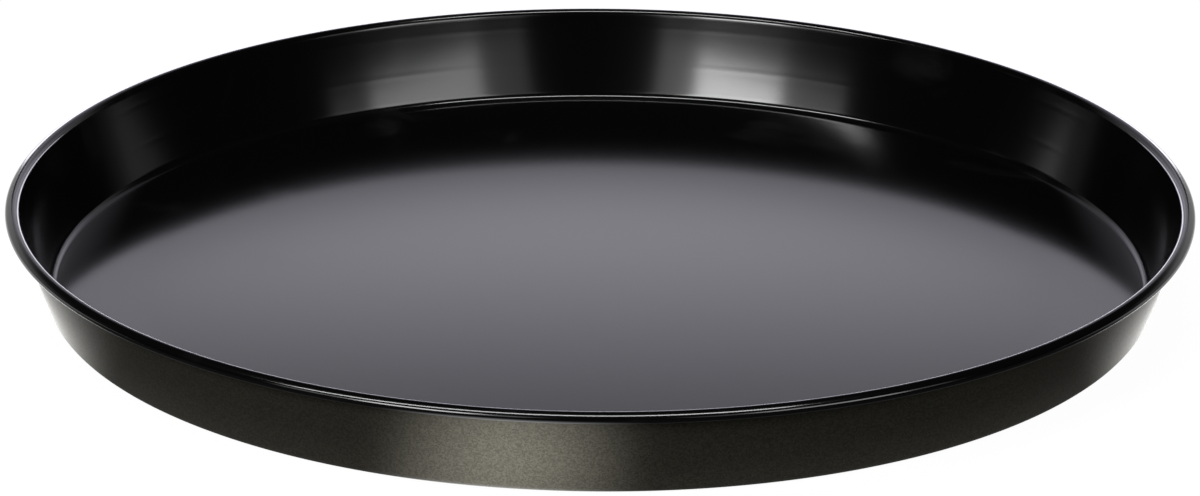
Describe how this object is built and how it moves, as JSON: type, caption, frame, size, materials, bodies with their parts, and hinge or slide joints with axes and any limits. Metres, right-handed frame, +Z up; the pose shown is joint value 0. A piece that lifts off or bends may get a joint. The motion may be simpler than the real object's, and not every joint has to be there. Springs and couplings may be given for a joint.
{
  "type": "pizza pan",
  "caption": "Round coated steel pizza pan with a flat floor, a low leaning wall and a rim rolled over a wire.",
  "frame": {"origin": "middle of the flat underside, at the level of the surface that the pan stands on", "axes": "+Z up along the pan's axis, out of its open mouth; the pan is round, so X and Y are any two level directions; the wire's joint is at +Y"},
  "size_m": [0.3284, 0.3284, 0.0261],
  "materials": {
    "inner_coating": "smooth satin-gloss black release coat",
    "steel_pan": "cold-rolled steel sheet, bare at the cut edge",
    "outer_coating": "olive-black baked coat with fine metallic flake",
    "rim_wire": "drawn steel wire"
  },
  "bodies": {
    "root": {"inner_coating": "inner_coating", "steel_pan": "steel_pan", "outer_coating": "outer_coating", "rim_wire": "rim_wire"}
  },
  "joints": []
}
